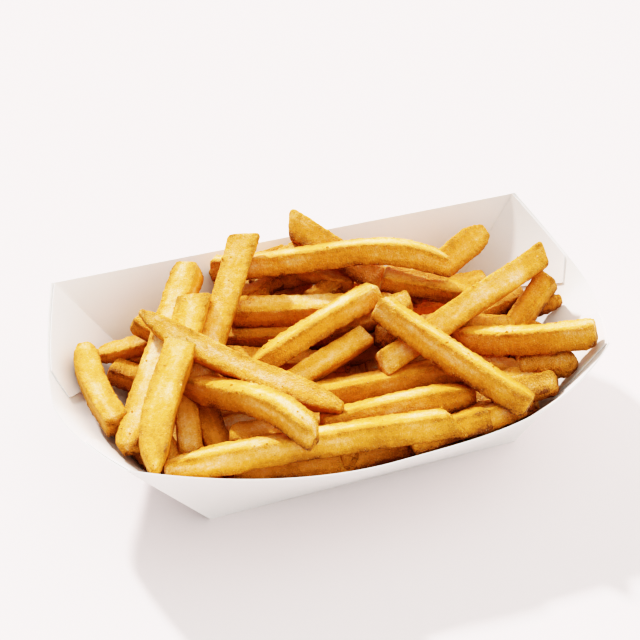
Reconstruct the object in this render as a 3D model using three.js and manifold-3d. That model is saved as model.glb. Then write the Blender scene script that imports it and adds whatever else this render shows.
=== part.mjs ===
// A folded paperboard food tray heaped with french fries, in millimetres, +Z up.
// The origin is on the table, under the middle of the tray's flat base; +X runs along the long walls
// and -Y is the front. The tray is one folded and glued blank; the fries are one fused heap.
import * as THREE from "three";
import Module from "manifold-3d";

const wasm = await Module();
wasm.setup();

// ---- Driving dimensions -------------------------------------------------------------------------

const BOARD = 0.5; // thickness of the paperboard
const BASE_LENGTH = 107; // flat base, along X
const BASE_WIDTH = 67; // flat base, along Y

// The four sharp rim corners, where a long wall is creased against an end wall. The blank is
// folded by hand, so no two corners stand quite alike.
const RIM_CORNERS = {
  frontLeft: new THREE.Vector3(-81, -44.5, 43),
  frontRight: new THREE.Vector3(80, -41.5, 44),
  backRight: new THREE.Vector3(83, 41.5, 43),
  backLeft: new THREE.Vector3(-83.5, 44.5, 45.5),
};

// Each wall leans out from its base edge. Between its corners the rim bows out and dips; fullness is
// the power of the bow over the wall's first and second half, and a high power has a flat middle.
const WALLS = [
  { from: "frontLeft", to: "frontRight", out: [0, -1], bow: 14.5, dip: 12, fullness: [1.8, 3.9] },
  { from: "frontRight", to: "backRight", out: [1, 0], bow: 11, dip: 10.5, fullness: [1.5, 1.5] },
  { from: "backRight", to: "backLeft", out: [0, 1], bow: 14.5, dip: 12.5, fullness: [1.8, 1.8] },
  { from: "backLeft", to: "frontLeft", out: [-1, 0], bow: 12, dip: 11.5, fullness: [1.5, 1.5] },
];
const RIGHT_WALL = 1; // places in the list above
const LEFT_WALL = 3;
const WALL_STEPS = 14; // straight steps along each bowed rim
const WALL_LEVELS = [0, 1 / 3, 2 / 3, 1]; // heights of the points up a wall, from base to rim
const NORMAL_STEP = 0.01; // share of a wall's length that its normals are measured over

// Glue tabs: the ends of the long walls, folded onto the inner faces of the end walls.
const TAB_LEVELS = [1, 2, 3]; // the levels of the wall that a tab covers
const TAB_BELOW_RIM = 0.05; // share of its top level that a tab stops below the rim
const LONG_TAB = 6; // steps along the end wall that the back wall's tabs reach
const SHORT_TAB = 5; // the same for the front wall's tabs
const TAB_SINK = 0.2; // how far a tab is let into the wall, so that the two are one board
const TAB_ROOT = 1.5 * BOARD; // how far a tab stands off the middle of the board at its crease

const FRY_SIZE = 8; // side of a straight-cut fry's square section
const CORNER_CUT = 0.26; // share of a half side taken off each long edge
const PATH_STEPS = 4; // straight steps between a fry's two ends

// An end of a fry: the share of its width that is left at the tip, and the share of its length over
// which it narrows.
const ENDS = {
  square: { left: 0.92, run: 0.03 },
  round: { left: 0.68, run: 0.06 },
  point: { left: 0.25, run: 0.2 },
  taper: { left: 0.4, run: 0.2 },
};

const CORE_TOP = 17; // the packed fries under those that show
const CORE_CROWN = 20; // the same at the middle of the heap
const CORE_GAP = 1.6; // from the core to the tray's walls and floor
const CORE_STRIDE = 2; // wall steps to each step round the core
const WELD = 0.02; // smallest edge kept where fries are fused

const PAPER = { color: 0xf3efe9, roughness: 0.75, metalness: 0 };
const FRIED = { color: 0xe0a540, roughness: 0.55, metalness: 0 };

// ---- Small helpers ------------------------------------------------------------------------------

function mix(a, b, share) {
  return a.clone().lerp(b, share);
}

function middleOf(points) {
  const middle = new THREE.Vector3();
  points.forEach((point) => middle.add(point));
  return middle.divideScalar(points.length);
}

function solidFrom(points, triangles) {
  const vertProperties = new Float32Array(points.flatMap((p) => [p.x, p.y, p.z]));
  return new wasm.Manifold(
    new wasm.Mesh({ numProp: 3, vertProperties, triVerts: new Uint32Array(triangles) }),
  );
}

// Two triangles over the quad of the points numbered a, b, c and d, split along its shorter diagonal.
function quadTriangles(points, a, b, c, d) {
  if (points[a].distanceTo(points[c]) <= points[b].distanceTo(points[d])) return [a, b, c, a, c, d];
  return [a, b, d, b, c, d];
}

// A closed skin over a stack of rings of equal count, each ring anticlockwise seen from the last
// ring, with a point at the middle of both end rings.
function loftSolid(rings, firstMiddle, lastMiddle) {
  const count = rings[0].length;
  const points = [...rings.flat(), firstMiddle, lastMiddle];
  const last = (rings.length - 1) * count;
  const triangles = [];
  for (let i = 0; i < count; i += 1) {
    const j = (i + 1) % count;
    for (let ring = 0; ring < last; ring += count) {
      const next = ring + count;
      triangles.push(...quadTriangles(points, ring + i, ring + j, next + j, next + i));
    }
    triangles.push(j, i, points.length - 2);
    triangles.push(last + i, last + j, points.length - 1);
  }
  return solidFrom(points, triangles);
}

function meshOf(solid, name, finish) {
  const { vertProperties, triVerts } = solid.getMesh();
  const geometry = new THREE.BufferGeometry();
  geometry.setAttribute("position", new THREE.BufferAttribute(vertProperties, 3));
  geometry.setIndex(new THREE.BufferAttribute(triVerts, 1));
  geometry.computeVertexNormals();
  const mesh = new THREE.Mesh(geometry, new THREE.MeshStandardMaterial(finish));
  mesh.name = name;
  return mesh;
}

// ---- The tray -----------------------------------------------------------------------------------

function baseCorner(name) {
  const corner = RIM_CORNERS[name];
  return new THREE.Vector3(
    (Math.sign(corner.x) * BASE_LENGTH) / 2,
    (Math.sign(corner.y) * BASE_WIDTH) / 2,
    0,
  );
}

function rimPoint(wall, along) {
  const side = 2 * along - 1;
  const power = wall.fullness[side < 0 ? 0 : 1];
  const full = 1 - Math.abs(side) ** power;
  const point = mix(RIM_CORNERS[wall.from], RIM_CORNERS[wall.to], along);
  point.x += wall.out[0] * wall.bow * full;
  point.y += wall.out[1] * wall.bow * full;
  point.z -= wall.dip * full;
  return point;
}

// A point of a wall's outer face: along runs from corner to corner, up from the base to the rim.
function wallPoint(wall, along, up) {
  const foot = mix(baseCorner(wall.from), baseCorner(wall.to), along);
  return foot.lerp(rimPoint(wall, along), up);
}

// The wall's normal into the tray, from a short step along the wall and the line up it.
function inward(wall, along, up) {
  const before = wallPoint(wall, Math.max(along - NORMAL_STEP, 0), up);
  const after = wallPoint(wall, Math.min(along + NORMAL_STEP, 1), up);
  const rise = wallPoint(wall, along, 1).sub(wallPoint(wall, along, 0));
  return rise.cross(after.sub(before)).normalize();
}

// One column of the folded board, from the base edge to the rim: its outer points and its inner ones.
// At a crease the inner faces of two walls are mitred, and the lowest inner point is on the floor.
function boardColumn(wall, along, previous) {
  const outer = WALL_LEVELS.map((up) => wallPoint(wall, along, up));
  const inner = WALL_LEVELS.map((up, i) => {
    const normal = inward(wall, along, up);
    if (along > 0) return normal.multiplyScalar(BOARD).add(outer[i]);
    const other = inward(previous, 1, up);
    const share = BOARD / (1 + normal.dot(other));
    return normal.add(other).multiplyScalar(share).add(outer[i]);
  });
  const floor = (BOARD - inner[0].z) / (inner[1].z - inner[0].z);
  inner[0].lerp(inner[1], floor);
  return { outer, inner };
}

function boardColumns() {
  return WALLS.map((wall, index) => {
    const previous = WALLS[(index + WALLS.length - 1) % WALLS.length];
    const columns = [];
    for (let i = 0; i < WALL_STEPS; i += 1) {
      columns.push(boardColumn(wall, i / WALL_STEPS, previous));
    }
    return columns;
  });
}

function foldedBoard(columns) {
  const around = columns.flat();
  const outside = WALL_LEVELS.map((up, i) => around.map((column) => column.outer[i]));
  const inside = WALL_LEVELS.map((up, i) => around.map((column) => column.inner[i]));
  const rings = [...outside, ...inside.reverse()];
  return loftSolid(rings, new THREE.Vector3(0, 0, 0), new THREE.Vector3(0, 0, BOARD));
}

// One ring of a glue tab, up its face inside the tray and down its back, which is let into the wall.
// At the crease the ring stands in the middle of the board, so that the tab grows out of both walls.
function tabRing(wall, column, along, atCrease) {
  const at = (level, lift) => {
    const base = column.inner[level].clone();
    if (atCrease) base.lerp(column.outer[level], 0.5);
    return base.addScaledVector(inward(wall, along, WALL_LEVELS[level]), lift);
  };
  const under = atCrease ? 0 : -TAB_SINK;
  const over = atCrease ? TAB_ROOT : BOARD;
  const face = TAB_LEVELS.map((level) => at(level, over));
  const back = TAB_LEVELS.map((level) => at(level, under));
  const top = TAB_LEVELS.length - 1;
  face[top].lerp(face[top - 1], TAB_BELOW_RIM);
  back[top].lerp(back[top - 1], TAB_BELOW_RIM);
  return [...face, ...back.reverse()];
}

// A glue tab on a wall's inner face, from its crease at the wall's start or end.
function glueTab(columns, index, fromStart, steps) {
  const wall = WALLS[index];
  const own = [...columns[index], columns[(index + 1) % WALLS.length][0]];
  const rings = [];
  for (let i = 0; i <= steps; i += 1) {
    const place = fromStart ? i : WALL_STEPS - i;
    rings.push(tabRing(wall, own[place], place / WALL_STEPS, i === 0));
  }
  if (!fromStart) rings.reverse();
  return loftSolid(rings, middleOf(rings[0]), middleOf(rings[rings.length - 1]));
}

function makeTray() {
  const columns = boardColumns();
  const tabs = [
    glueTab(columns, RIGHT_WALL, false, LONG_TAB),
    glueTab(columns, RIGHT_WALL, true, SHORT_TAB),
    glueTab(columns, LEFT_WALL, true, LONG_TAB),
    glueTab(columns, LEFT_WALL, false, SHORT_TAB),
  ];
  const tray = tabs.reduce((board, tab) => board.add(tab), foldedBoard(columns));
  return meshOf(tray, "tray", PAPER);
}

// ---- The fries ----------------------------------------------------------------------------------

// The corners of a square section with its four edges cut, in half sides.
function sectionCorners() {
  const flat = 1 - CORNER_CUT;
  return [
    [1, -flat],
    [1, flat],
    [flat, 1],
    [-flat, 1],
    [-1, flat],
    [-1, -flat],
    [-flat, -1],
    [flat, -1],
  ];
}

function endShare(end, distance) {
  return Math.min(1, end.left + (1 - end.left) * (distance / end.run));
}

// One straight-cut fry from one end to the other. turn rolls its section, in degrees; arch lifts it
// and sway bends it sideways, both in mm and most of all at the share of its length that peak gives.
function fry(from, to, options = {}) {
  const {
    width = FRY_SIZE,
    depth = FRY_SIZE,
    turn = 0,
    arch = 0,
    sway = 0,
    first = "square",
    last = "square",
    peak = 0.5,
  } = options;
  const start = new THREE.Vector3(...from);
  const axis = new THREE.Vector3(...to).sub(start);
  const length = axis.length();
  axis.normalize();
  const across = new THREE.Vector3(0, 0, 1).cross(axis).normalize();
  const above = axis.clone().cross(across);
  across.applyAxisAngle(axis, THREE.MathUtils.degToRad(turn));
  above.applyAxisAngle(axis, THREE.MathUtils.degToRad(turn));

  const lean = Math.log(0.5) / Math.log(peak);
  const begin = ENDS[first].run;
  const finish = 1 - ENDS[last].run;
  const stations = [0];
  for (let i = 0; i <= PATH_STEPS; i += 1) {
    stations.push(begin + (finish - begin) * (i / PATH_STEPS));
  }
  stations.push(1);
  const middles = stations.map((t) => {
    const bend = Math.sin(Math.PI * t ** lean);
    const middle = start.clone().addScaledVector(axis, t * length);
    middle.addScaledVector(across, bend * sway);
    middle.z += bend * arch;
    return middle;
  });
  const rings = stations.map((t, i) => {
    const share = Math.min(endShare(ENDS[first], t), endShare(ENDS[last], 1 - t));
    return sectionCorners().map(([x, y]) =>
      middles[i]
        .clone()
        .addScaledVector(across, (x * share * width) / 2)
        .addScaledVector(above, (y * (0.5 + share / 2) * depth) / 2),
    );
  });
  return loftSolid(rings, middles[0], middles[middles.length - 1]);
}

// The fries that show, each from where one end lies to where the other does. The top ones lie across
// those below, and the lower ones run on into the heap.
function topFries() {
  return [
    fry([-59.6, 17.3, 48.6], [-9, -35.6, 37.6], {
      width: 8.4,
      turn: 30,
      arch: -4.2,
      first: "point",
      last: "taper",
      peak: 0.42,
    }),
    fry([-37, 38.3, 44.8], [-76.1, -25.4, 31.4], {
      width: 9.6,
      depth: 7.4,
      turn: 2,
      first: "round",
      last: "round",
    }),
    fry([-40.7, 22.2, 44.5], [-72.3, -41.4, 36.5], {
      width: 10.8,
      depth: 7,
      turn: -5,
      sway: -2.3,
      last: "point",
      peak: 0.7,
    }),
    fry([-16.9, 42.1, 49], [-48.3, -5.7, 30], { width: 9.4, depth: 7.2, turn: -12 }),
    fry([-28, 44, 37], [47.1, 13.8, 41], { turn: -20, arch: 7, last: "round", peak: 0.7 }),
    fry([-29.9, -4.1, 32.6], [18.2, 7, 43.6], {
      width: 8.6,
      depth: 7.2,
      turn: -25,
      arch: 1,
      first: "point",
      last: "round",
    }),
    fry([10.8, -16.6, 33], [78.7, 8.2, 42], { width: 8.8, depth: 7.4, turn: 32 }),
    fry([16, -2, 45.2], [48.1, -51.2, 35], { depth: 8.4, turn: -28, arch: -1 }),
    fry([39.5, -8.2, 29.5], [77.5, -36.2, 44.7], {
      depth: 8.6,
      turn: -14,
      arch: -2.3,
      first: "point",
      last: "round",
    }),
    fry([-51.7, 3, 28.5], [-22.6, -48, 41.1], {
      width: 8.6,
      depth: 8.4,
      turn: -13,
      arch: 6,
      last: "round",
      peak: 0.68,
    }),
    fry([-68, -38, 32], [24.7, -48.7, 33], {
      width: 9,
      depth: 8.4,
      turn: -24,
      arch: 1.5,
      first: "taper",
    }),
  ];
}

function backFries() {
  return [
    fry([1.4, 49.1, 45], [27.1, 20.9, 32], { width: 9.8, depth: 6.6, turn: 35, first: "round" }),
    fry([-6.3, 41.3, 35], [13.1, 46.7, 37], { width: 6.4, depth: 6 }),
    fry([67.2, 30.9, 38], [32.8, 17.6, 28], {
      width: 10.4,
      depth: 7,
      turn: -32,
      arch: 1,
      first: "taper",
    }),
    fry([-27.7, 26, 32], [24.4, 9.9, 32], { width: 8.6 }),
    fry([25.2, 20.2, 37], [58.4, 7, 29], { width: 7.4, depth: 7 }),
    fry([29, 3, 39], [-2, 6, 30], { width: 7.6, depth: 7.6, turn: -10, first: "round" }),
    fry([-1.7, 43, 32], [17.1, 26.8, 31], { width: 7.6, depth: 5.4, turn: -5, last: "taper" }),
    fry([-30, 38, 24], [-5.9, 39.4, 31], { width: 7.6, depth: 7 }),
    fry([-22.2, 36.7, 24], [-10.5, 36.5, 29], { width: 6.4, depth: 6, last: "point" }),
    fry([-6, 22, 25], [12, 29.7, 30], { depth: 7.6, last: "round" }),
    fry([36, 26.6, 19], [65.6, 22.6, 21]),
    fry([-34, 38, 21], [6, 42, 22]),
    fry([10, 40.5, 20], [48, 33, 19]),
    fry([-34, 24, 24], [10, 8, 25], { width: 7.5, depth: 7 }),
    fry([-34, 14, 22], [6, 0, 19]),
    fry([-16, 42, 28.5], [8, 39, 30], { width: 7.4, depth: 7.4 }),
  ];
}

function leftFries() {
  return [
    fry([-59.9, 26.9, 37], [-30, -6, 21], { width: 6.4, depth: 6.4, first: "round" }),
    fry([-78.6, 21.6, 35], [-76.7, -14.2, 32], {
      width: 8.6,
      depth: 8.6,
      sway: -1.8,
      first: "taper",
    }),
    fry([-75.2, 23.1, 28], [-40.6, 26.1, 27], { width: 6.2, depth: 5.6, first: "point" }),
    fry([-71, 19, 25], [-45, 0, 17], { width: 7.6, depth: 7.6 }),
    fry([-64, 24, 23], [-40, 14, 20], { width: 6.4, depth: 5.6, first: "round" }),
    fry([-46, 4.6, 23], [-47.3, -28.9, 20], { width: 9, depth: 7.6 }),
    fry([-65.6, -6, 22], [-61.6, -33, 22]),
    fry([-44, -27, 27], [4, -29, 23], { width: 8.4, depth: 8.4, first: "round" }),
    fry([-50.4, 2.9, 26], [-57, -27.7, 24], { width: 7.8, depth: 7.6 }),
  ];
}

function rightFries() {
  return [
    fry([79.9, 3.3, 35], [44, -18, 17], { width: 7.6, depth: 7.2 }),
    fry([82.9, -1.4, 28.5], [50, 6, 19], { width: 5.6, depth: 5.6, first: "point" }),
    fry([70.7, 4.1, 30], [39.6, 0.1, 26], { width: 7, depth: 6.6, first: "round" }),
    fry([41.4, -2.3, 30], [61.6, -8.2, 27], { width: 7, depth: 7 }),
    fry([32, -11, 26], [60, -26, 21], { depth: 7.6 }),
    fry([71.5, -36.8, 34.5], [57, -26.9, 27], { depth: 6.6, turn: -15, first: "point" }),
    fry([37.5, -28.3, 21], [65.2, -33.2, 28], { width: 9, last: "round" }),
    fry([61.9, -42.5, 33.5], [33.6, -32.9, 21], {
      width: 7.4,
      depth: 7.2,
      turn: -25,
      first: "round",
    }),
    fry([71.3, -8, 25], [55.3, -29.5, 16.4]),
  ];
}

function frontFries() {
  return [
    fry([-19.8, -13.1, 30], [10.9, -2.5, 34.5], { width: 7.6, depth: 7.2, turn: 20 }),
    fry([15.9, -5.9, 34], [30, 20, 20], { width: 7, depth: 7, first: "round" }),
    fry([-14, -19, 28], [41, -21, 28], { width: 8.6, depth: 8.4, turn: -20 }),
    fry([-15.6, -34.7, 31], [36, -36, 30], { depth: 8.2, turn: -22, arch: 1.5, last: "taper" }),
    fry([23.8, -41.5, 24.2], [53, -40.7, 27.2], { turn: -35 }),
    fry([-13, -30, 21], [-9.6, -47.3, 27.5], { width: 7.6, depth: 7.6 }),
    fry([-46, -38.5, 25], [-14, -43.5, 24], { turn: -35 }),
    fry([-4, -42, 23], [29, -43.5, 24.5], { turn: -37 }),
    fry([-30, -14, 20], [8, -24, 17]),
  ];
}

// The packed fries that nothing shows of, as one lump inside the tray.
function heapCore() {
  const gap = BOARD + CORE_GAP;
  const ring = (height) =>
    WALLS.flatMap((wall) => {
      const points = [];
      for (let i = 0; i < WALL_STEPS; i += CORE_STRIDE) {
        const along = (i + 1) / WALL_STEPS;
        const up = height / rimPoint(wall, along).z;
        points.push(wallPoint(wall, along, up).addScaledVector(inward(wall, along, up), gap));
      }
      return points;
    });
  const rings = [gap, CORE_TOP].map(ring);
  const low = new THREE.Vector3(0, 0, gap);
  const high = new THREE.Vector3(0, 0, CORE_CROWN);
  return loftSolid(rings, low, high);
}

// Fuses the fries onto the core and keeps the outer skin of the one body that they form.
function makeFries() {
  const fries = [
    ...topFries(),
    ...backFries(),
    ...leftFries(),
    ...rightFries(),
    ...frontFries(),
  ];
  const fused = wasm.Manifold.union([heapCore(), ...fries]).simplify(WELD);
  const bodies = fused.decompose();
  const heap = bodies.reduce((most, body) => (body.volume() > most.volume() ? body : most));
  return meshOf(heap, "fries", FRIED);
}

const part = new THREE.Group();
part.add(makeTray(), makeFries());

export default part;
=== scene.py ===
"""French fries heaped in a folded paperboard tray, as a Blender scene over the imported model.

Shapes are worked out in millimetres and put into their meshes in metres. +X runs along the tray's
long walls, -Y is its front, and the tray stands on z = 0.
"""
import math

import bpy
import numpy as np
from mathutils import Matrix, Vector


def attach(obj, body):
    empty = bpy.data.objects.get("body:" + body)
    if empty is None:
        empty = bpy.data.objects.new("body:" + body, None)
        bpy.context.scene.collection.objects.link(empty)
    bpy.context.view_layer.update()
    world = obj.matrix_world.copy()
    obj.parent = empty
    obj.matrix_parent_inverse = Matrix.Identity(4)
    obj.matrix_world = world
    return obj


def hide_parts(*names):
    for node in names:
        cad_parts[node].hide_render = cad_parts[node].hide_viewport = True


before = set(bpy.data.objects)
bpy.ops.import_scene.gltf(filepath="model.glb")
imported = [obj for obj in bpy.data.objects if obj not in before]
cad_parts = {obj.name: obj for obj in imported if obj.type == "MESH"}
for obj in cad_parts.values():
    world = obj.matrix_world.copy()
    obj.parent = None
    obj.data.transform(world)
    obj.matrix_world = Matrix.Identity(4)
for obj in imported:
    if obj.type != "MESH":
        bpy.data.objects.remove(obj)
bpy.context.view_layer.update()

# ---- The table, the lamps and the camera -----------------------------------------------------------
# A seamless pale table top in a room of soft light that is brightest overhead and on the right, with one
# lamp behind the tray, a little to the left. The camera looks down on the tray's front.

MM = 0.001
TABLE_SIZE = 8.0
TABLE_COLOUR = (0.85, 0.785, 0.785, 1.0)
TABLE_SHADE = (0.8373, 0.7732, 0.7732, 1.0)
ROOM_COLOUR = (1.0, 0.975, 0.95, 1.0)
ROOM_STRENGTH = 0.62
ROOM_SLOPE = (0.6, 0.0, 0.55)
# What the camera is aimed at and its distance from there, its angle above the table and its bearing
# in degrees, and its lens and sensor.
VIEW_TARGET = (4.24, 24.61, 20.0)
VIEW_DISTANCE = 647.4
VIEW_ELEVATION = 42.08
VIEW_AZIMUTH = 19.11
VIEW_LENS = 105.58
SENSOR_WIDTH = 36.0
# The tone curves' points: the light that comes in and the tone that goes out.
TONES = [
    (0.0, 0.0), (0.02, 0.003), (0.05, 0.02), (0.1, 0.08), (0.17, 0.19), (0.3, 0.41), (0.5, 0.63),
    (0.85, 0.845), (1.3, 0.935), (2.0, 0.99), (3.0, 1.0),
]
COOL_TONES = [(0.0, 0.0), (0.84, 0.836), (0.96, 0.937), (1.0, 0.965)]


def direction(azimuth, elevation):
    """Unit vector towards a bearing, in degrees: 0 is the far side, +Y, and 90 is +X."""
    bearing = math.radians(azimuth)
    rise = math.radians(elevation)
    return np.array([
        math.sin(bearing) * math.cos(rise),
        math.cos(bearing) * math.cos(rise),
        math.sin(rise),
    ])


def aim(thing, place, towards):
    """Puts a lamp or a camera at a place, in metres, with its -Z axis towards a second one."""
    thing.location = Vector(place)
    line = Vector(towards) - Vector(place)
    thing.rotation_euler = line.to_track_quat("-Z", "Y").to_euler()


def broad_lamp(name, azimuth, elevation, strength, spread, colour):
    """A lamp so far away that its light is even, and spread over an angle in degrees."""
    light = bpy.data.lights.new(name, "SUN")
    light.energy = strength
    light.angle = math.radians(spread)
    light.color = colour
    lamp = bpy.data.objects.new(name, light)
    bpy.context.collection.objects.link(lamp)
    aim(lamp, direction(azimuth, elevation) * 2.0, (0, 0, 0))


def node(tree, kind, place=None, **values):
    """A shader node; values set its inputs by name, or its own properties. Without a place it is set
    down after the nodes before it, eight to a row."""
    row, column = divmod(len(tree.nodes), 8)
    made = tree.nodes.new(kind)
    made.location = place or (220 * column, -320 * row)
    for key, value in values.items():
        if key in made.inputs:
            made.inputs[key].default_value = value
        else:
            setattr(made, key, value)
    return made


def new_material(name):
    """An empty material with an output and a Principled BSDF: (material, tree, shader)."""
    material = bpy.data.materials.new(name)
    material.use_nodes = True
    tree = material.node_tree
    tree.nodes.clear()
    output = node(tree, "ShaderNodeOutputMaterial", (400, 0))
    shader = node(tree, "ShaderNodeBsdfPrincipled", (100, 0))
    tree.links.new(shader.outputs["BSDF"], output.inputs["Surface"])
    return material, tree, shader


def table_top():
    """A flat square of matte laminate, with a faint unevenness in its colour."""
    half = TABLE_SIZE / 2
    mesh = bpy.data.meshes.new("table_top")
    corners = [(-half, -half, 0), (half, -half, 0), (half, half, 0), (-half, half, 0)]
    mesh.from_pydata(corners, [], [(0, 1, 2, 3)])
    table = bpy.data.objects.new("table_top", mesh)
    bpy.context.collection.objects.link(table)
    material, tree, shader = new_material("pale_table")
    place = node(tree, "ShaderNodeTexCoord", (-900, 0))
    cloud = node(tree, "ShaderNodeTexNoise", (-700, 0), Scale=3.0, Detail=3.0)
    tone = node(tree, "ShaderNodeMix", (-400, 0), data_type="RGBA")
    tone.inputs["A"].default_value = TABLE_COLOUR
    tone.inputs["B"].default_value = TABLE_SHADE
    tree.links.new(place.outputs["Object"], cloud.inputs["Vector"])
    tree.links.new(cloud.outputs["Fac"], tone.inputs["Factor"])
    tree.links.new(tone.outputs["Result"], shader.inputs["Base Color"])
    shader.inputs["Roughness"].default_value = 0.7
    shader.inputs["Specular IOR Level"].default_value = 0.2
    mesh.materials.append(material)


def soft_room():
    """Room light whose strength changes evenly with direction: the strength at the horizon plus the dot
    product of the direction and the slope."""
    world = bpy.data.worlds.new("soft_room")
    bpy.context.scene.world = world
    world.use_nodes = True
    tree = world.node_tree
    sky = tree.nodes["Background"]
    sky.inputs["Color"].default_value = ROOM_COLOUR
    look = node(tree, "ShaderNodeTexCoord", (-600, 0))
    climb = node(tree, "ShaderNodeVectorMath", (-400, 0), operation="DOT_PRODUCT")
    climb.inputs[1].default_value = ROOM_SLOPE
    level = node(tree, "ShaderNodeMath", (-200, 0), operation="ADD")
    level.inputs[1].default_value = ROOM_STRENGTH
    tree.links.new(look.outputs["Generated"], climb.inputs[0])
    tree.links.new(climb.outputs["Value"], level.inputs[0])
    tree.links.new(level.outputs[0], sky.inputs["Strength"])


def photographer():
    """The camera, on a long lens, level from side to side."""
    data = bpy.data.cameras.new("camera")
    data.lens = VIEW_LENS
    data.sensor_width = SENSOR_WIDTH
    camera = bpy.data.objects.new("camera", data)
    bpy.context.collection.objects.link(camera)
    target = np.array(VIEW_TARGET) * MM
    seen_from = direction(VIEW_AZIMUTH + 180, VIEW_ELEVATION)
    aim(camera, target + seen_from * VIEW_DISTANCE * MM, target)
    bpy.context.scene.camera = camera


def camera_response():
    """The camera's tone curve: deep tones pulled down and bright tones rolled off softly. Green and
    blue stop short of full white."""
    settings = bpy.context.scene.view_settings
    settings.view_transform = "Standard"
    settings.use_curve_mapping = True
    mapping = settings.curve_mapping
    mapping.use_clip = False
    mapping.clip_max_x = 3.0
    mapping.clip_max_y = 1.5
    for channel, tones in ((3, TONES), (1, COOL_TONES), (2, COOL_TONES)):
        curve = mapping.curves[channel]
        curve.points[0].location = tones[0]
        curve.points[1].location = tones[-1]
        for place in tones[1:-1]:
            curve.points.new(*place)
    mapping.update()


table_top()
soft_room()
broad_lamp("back_left_lamp", azimuth=-14, elevation=34.5, strength=3.1, spread=4.0,
           colour=(1.0, 0.99, 0.98))
photographer()
camera_response()

# ---- The paper tray --------------------------------------------------------------------------------
# One blank of white paperboard, 0.5 mm thick, creased into a flat base with two long walls and two end
# walls that lean out. The long walls end in tabs, folded round the corners and glued to the end walls.

BOARD = 0.5
BASE_HALF = (53.5, 33.5)
RIM_CORNERS = {
    "front_left": (-81.0, -44.5, 43.0),
    "front_right": (80.0, -41.5, 44.0),
    "back_right": (83.0, 41.5, 43.0),
    "back_left": (-83.5, 44.5, 45.5),
}
# From one rim corner to the next, anticlockwise from above: which way the rim bows, how far, how far
# it dips, and how full the bow is over its first and its second half.
WALLS = {
    "front": ("front_left", "front_right", (0, -1), 14.5, 12.0, (1.8, 3.9)),
    "right": ("front_right", "back_right", (1, 0), 11.0, 10.5, (1.5, 1.5)),
    "back": ("back_right", "back_left", (0, 1), 14.5, 12.5, (1.8, 1.8)),
    "left": ("back_left", "front_left", (-1, 0), 12.0, 11.5, (1.5, 1.5)),
}
WALL_COLUMNS = 56
WALL_ROWS = 10
PAPER_COLOUR = (0.91, 0.885, 0.865, 1.0)
PAPER_SHADE = (0.8736, 0.8496, 0.8304, 1.0)
# Each tab's outline on its end wall: how far along from its crease, and how far up. The free end is
# cut on a slant, and the lower edge runs down to the corner of the base.
TAB_OUTLINE = ((0.0, 0.10), (0.40, 0.80), (0.43, 0.86), (0.34, 0.985), (0.0, 0.985))
# How far a tab is from its wall's inner face, how much farther its upper edge gapes, and its board.
TAB_GAP = 0.02
TAB_GAPE = 0.12
TAB_THICKNESS = 0.45


def wall_points(wall, along, up):
    """A wall's outer face, ruled by straight lines from the base edge to the rim. The rim is the line
    between two corners, moved out and down by the bow and the dip times 1 - |side|^fullness."""
    first, last, out, bow, dip, fullness = WALLS[wall]
    start, end = np.array(RIM_CORNERS[first]), np.array(RIM_CORNERS[last])
    base = np.array([*BASE_HALF, 0.0])
    along = np.asarray(along, dtype=float)[..., None]
    up = np.asarray(up, dtype=float)[..., None]
    side = 2 * along - 1
    full = 1 - np.abs(side) ** np.where(side < 0, fullness[0], fullness[1])
    rim = start + (end - start) * along + full * np.array([out[0] * bow, out[1] * bow, -dip])
    foot = base * np.sign(start * (1, 1, 0)) * (1 - along) + base * np.sign(end * (1, 1, 0)) * along
    return foot + (rim - foot) * up


def unit(vectors):
    """Vectors scaled to a length of one."""
    return vectors / np.linalg.norm(vectors, axis=-1, keepdims=True)


def wall_normals(wall, along, up):
    """Unit normals into the tray: the line up the wall crossed with a short step along it."""
    step = 0.01
    along = np.asarray(along, dtype=float)
    up = np.asarray(up, dtype=float)
    before = wall_points(wall, np.maximum(along - step, 0), up)
    after = wall_points(wall, np.minimum(along + step, 1), up)
    rise = wall_points(wall, along, np.ones_like(up)) - wall_points(wall, along, np.zeros_like(up))
    return unit(np.cross(rise, after - before))


def new_piece(name, points, faces, material, slot, smooth_angle=180.0):
    """A mesh object from points in millimetres and lists of point numbers, on the part's one body."""
    mesh = bpy.data.meshes.new(name)
    mesh.from_pydata((np.asarray(points) * MM).tolist(), [], faces)
    mesh.validate()
    mesh.shade_smooth()
    if smooth_angle < 180.0:
        mesh.set_sharp_from_angle(angle=math.radians(smooth_angle))
    mesh.materials.append(material)
    piece = bpy.data.objects.new(name, mesh)
    bpy.context.collection.objects.link(piece)
    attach(piece, "root")
    return piece


def round_faces(rings, count, start=0):
    """Quads between neighbouring rings of a closed tube, the points of each ring numbered in turn."""
    ring = np.arange(rings - 1)[:, None] * count + start
    here = np.arange(count)[None, :]
    after = (here + 1) % count
    quads = np.stack([ring + here, ring + after, ring + count + after, ring + count + here], -1)
    return quads.reshape(-1, 4).tolist()


def fan_faces(first, count, middle, outwards):
    """Triangles from a ring's points, numbered from first, to the point at its middle."""
    here = np.arange(count)
    after = (here + 1) % count
    pair = (here, after) if outwards else (after, here)
    return np.stack([pair[0] + first, pair[1] + first, np.full(count, middle)], -1).tolist()


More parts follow.
